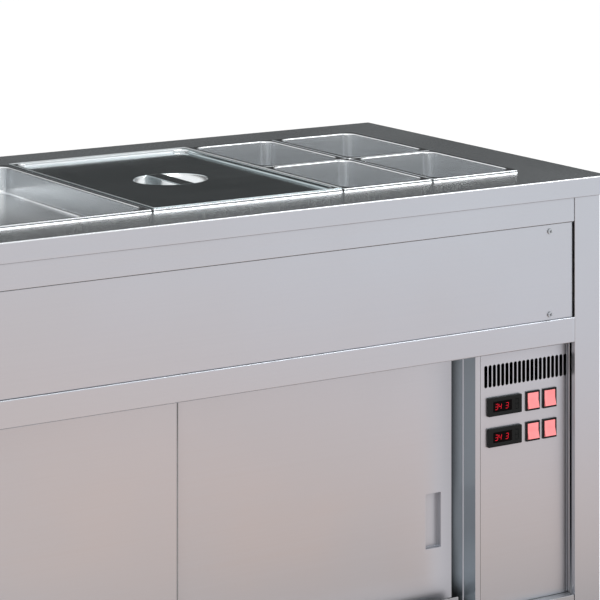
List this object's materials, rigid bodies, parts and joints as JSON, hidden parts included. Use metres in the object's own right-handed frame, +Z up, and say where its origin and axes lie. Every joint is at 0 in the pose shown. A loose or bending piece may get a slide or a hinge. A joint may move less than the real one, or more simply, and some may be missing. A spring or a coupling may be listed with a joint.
{
  "type": "heated serving counter",
  "caption": "Stainless-steel heated serving counter with food pans hung in a wet well over a hot cupboard with sliding doors, a control bay and levelling feet.",
  "frame": {"origin": "on the floor, at the centre of the worktop's footprint", "axes": "+X along the counter's length, +Y away from the doors and controls, +Z up"},
  "size_m": [1.5, 0.75, 0.855],
  "materials": {
    "worktop_steel": "fine satin",
    "cabinet_steel": "fine satin",
    "screw_steel": "bright",
    "inner_steel": "plain",
    "mineral_wool": "matt",
    "heater_sheath": "heat tinted",
    "motor_housing": "semi-matt",
    "electrics_housing": "matt",
    "cable_sheath": "matt",
    "black_plastic": "fine grain",
    "display_window": "gloss",
    "display_light": "lit",
    "roller_nylon": "matt",
    "pan_steel": "polished",
    "lid_steel": "mirror",
    "switch_red": "translucent, lit",
    "fan_aluminium": "plain",
    "foot_steel": "satin"
  },
  "bodies": {
    "counter": {"worktop": "worktop_steel", "end_panel_left": "cabinet_steel", "end_panel_right": "cabinet_steel", "upper_rails": "cabinet_steel", "fascia_panel": "cabinet_steel", "fascia_screws": "screw_steel", "mid_rail_front": "cabinet_steel", "back_panel": "cabinet_steel", "base_deck": "inner_steel", "cupboard_liner": "inner_steel", "cupboard_shelf": "inner_steel", "partition_walls": "inner_steel", "control_panel": "cabinet_steel", "service_panel": "cabinet_steel", "door_tracks": "inner_steel", "well_tank": "inner_steel", "well_insulation": "mineral_wool", "heating_elements": "heater_sheath", "pan_crossbars": "inner_steel", "overflow_pipe": "inner_steel", "drain_pipe": "inner_steel", "temperature_probes": "inner_steel", "fan_motor": "motor_housing", "electrics": "electrics_housing", "power_cable": "cable_sheath", "controller_cases": "black_plastic", "display_windows": "display_window", "display_digits": "display_light", "rocker_bezels": "black_plastic", "leg_tubes": "cabinet_steel"},
    "door_left": {"door_left_skin": "cabinet_steel", "door_left_liner": "inner_steel"},
    "door_right": {"door_right_skin": "cabinet_steel", "door_right_liner": "inner_steel"},
    "roller_left_1": {"roller_left_1": "roller_nylon"},
    "roller_left_2": {"roller_left_2": "roller_nylon"},
    "roller_right_1": {"roller_right_1": "roller_nylon"},
    "roller_right_2": {"roller_right_2": "roller_nylon"},
    "pan_full_1": {"pan_full_1": "pan_steel"},
    "pan_full_2": {"pan_full_2": "pan_steel"},
    "pan_full_3": {"pan_full_3": "pan_steel"},
    "pan_quarter_1": {"pan_quarter_1": "pan_steel"},
    "pan_quarter_2": {"pan_quarter_2": "pan_steel"},
    "pan_quarter_3": {"pan_quarter_3": "pan_steel"},
    "pan_quarter_4": {"pan_quarter_4": "pan_steel"},
    "lid": {"lid": "lid_steel"},
    "rocker_1": {"rocker_1": "switch_red"},
    "rocker_2": {"rocker_2": "switch_red"},
    "rocker_3": {"rocker_3": "switch_red"},
    "rocker_4": {"rocker_4": "switch_red"},
    "key_upper_1": {"key_upper_1": "black_plastic"},
    "key_upper_2": {"key_upper_2": "black_plastic"},
    "key_lower_1": {"key_lower_1": "black_plastic"},
    "key_lower_2": {"key_lower_2": "black_plastic"},
    "drain_valve_handle": {"drain_valve_handle": "black_plastic"},
    "fan_wheel": {"fan_wheel": "fan_aluminium"},
    "foot_front_left": {"foot_front_left": "foot_steel"},
    "foot_front_right": {"foot_front_right": "foot_steel"},
    "foot_back_left": {"foot_back_left": "foot_steel"},
    "foot_back_right": {"foot_back_right": "foot_steel"}
  },
  "joints": [
    {"name": "door_left_slide", "type": "slide", "parent": "counter", "child": "door_left", "axis": [1, 0, 0], "range_m": [0, 0.494]},
    {"name": "door_right_slide", "type": "slide", "parent": "counter", "child": "door_right", "axis": [-1, 0, 0], "range_m": [0, 0.494]},
    {"name": "roller_left_1_spin", "type": "hinge", "parent": "door_left", "child": "roller_left_1", "pos_m": [-0.4472, -0.314, 0.6175], "axis": [0, 1, 0], "continuous": true},
    {"name": "roller_left_2_spin", "type": "hinge", "parent": "door_left", "child": "roller_left_2", "pos_m": [-0.047, -0.314, 0.6175], "axis": [0, 1, 0], "continuous": true},
    {"name": "roller_right_1_spin", "type": "hinge", "parent": "door_right", "child": "roller_right_1", "pos_m": [0.047, -0.282, 0.6175], "axis": [0, 1, 0], "continuous": true},
    {"name": "roller_right_2_spin", "type": "hinge", "parent": "door_right", "child": "roller_right_2", "pos_m": [0.4472, -0.282, 0.6175], "axis": [0, 1, 0], "continuous": true},
    {"name": "pan_full_1_lift", "type": "slide", "parent": "counter", "child": "pan_full_1", "axis": [0, 0, 1], "range_m": [0, 0.2]},
    {"name": "pan_full_2_lift", "type": "slide", "parent": "counter", "child": "pan_full_2", "axis": [0, 0, 1], "range_m": [0, 0.2]},
    {"name": "pan_full_3_lift", "type": "slide", "parent": "counter", "child": "pan_full_3", "axis": [0, 0, 1], "range_m": [0, 0.2]},
    {"name": "pan_quarter_1_lift", "type": "slide", "parent": "counter", "child": "pan_quarter_1", "axis": [0, 0, 1], "range_m": [0, 0.2]},
    {"name": "pan_quarter_2_lift", "type": "slide", "parent": "counter", "child": "pan_quarter_2", "axis": [0, 0, 1], "range_m": [0, 0.2]},
    {"name": "pan_quarter_3_lift", "type": "slide", "parent": "counter", "child": "pan_quarter_3", "axis": [0, 0, 1], "range_m": [0, 0.2]},
    {"name": "pan_quarter_4_lift", "type": "slide", "parent": "counter", "child": "pan_quarter_4", "axis": [0, 0, 1], "range_m": [0, 0.2]},
    {"name": "lid_lift", "type": "slide", "parent": "pan_full_3", "child": "lid", "axis": [0, 0, 1], "range_m": [0, 0.12]},
    {"name": "rocker_1_rock", "type": "hinge", "parent": "counter", "child": "rocker_1", "pos_m": [0.616, -0.3533, 0.504], "axis": [1, 0, 0], "range_deg": [0, 16]},
    {"name": "rocker_2_rock", "type": "hinge", "parent": "counter", "child": "rocker_2", "pos_m": [0.648, -0.3533, 0.504], "axis": [1, 0, 0], "range_deg": [0, 16]},
    {"name": "rocker_3_rock", "type": "hinge", "parent": "counter", "child": "rocker_3", "pos_m": [0.616, -0.3533, 0.456], "axis": [1, 0, 0], "range_deg": [0, 16]},
    {"name": "rocker_4_rock", "type": "hinge", "parent": "counter", "child": "rocker_4", "pos_m": [0.648, -0.3533, 0.456], "axis": [1, 0, 0], "range_deg": [0, 16]},
    {"name": "key_upper_1_press", "type": "slide", "parent": "counter", "child": "key_upper_1", "axis": [0, 1, 0], "range_m": [0, 0.0008]},
    {"name": "key_upper_2_press", "type": "slide", "parent": "counter", "child": "key_upper_2", "axis": [0, 1, 0], "range_m": [0, 0.0008]},
    {"name": "key_lower_1_press", "type": "slide", "parent": "counter", "child": "key_lower_1", "axis": [0, 1, 0], "range_m": [0, 0.0008]},
    {"name": "key_lower_2_press", "type": "slide", "parent": "counter", "child": "key_lower_2", "axis": [0, 1, 0], "range_m": [0, 0.0008]},
    {"name": "drain_valve_turn", "type": "hinge", "parent": "counter", "child": "drain_valve_handle", "pos_m": [-0.5965, -0.22, 0.5], "axis": [0, 1, 0], "range_deg": [0, 90]},
    {"name": "fan_wheel_spin", "type": "hinge", "parent": "counter", "child": "fan_wheel", "pos_m": [0, 0.3, 0.52], "axis": [0, 1, 0], "continuous": true},
    {"name": "foot_front_left_level", "type": "slide", "parent": "counter", "child": "foot_front_left", "axis": [0, 0, -1], "range_m": [0, 0.025]},
    {"name": "foot_front_right_level", "type": "slide", "parent": "counter", "child": "foot_front_right", "axis": [0, 0, -1], "range_m": [0, 0.025]},
    {"name": "foot_back_left_level", "type": "slide", "parent": "counter", "child": "foot_back_left", "axis": [0, 0, -1], "range_m": [0, 0.025]},
    {"name": "foot_back_right_level", "type": "slide", "parent": "counter", "child": "foot_back_right", "axis": [0, 0, -1], "range_m": [0, 0.025]}
  ],
  "couplings": [
    {"joint": "roller_left_1_spin", "follows": "door_left_slide", "rad_per_m": 111.11},
    {"joint": "roller_left_2_spin", "follows": "door_left_slide", "rad_per_m": 111.11},
    {"joint": "roller_right_1_spin", "follows": "door_right_slide", "rad_per_m": -111.11},
    {"joint": "roller_right_2_spin", "follows": "door_right_slide", "rad_per_m": -111.11}
  ]
}
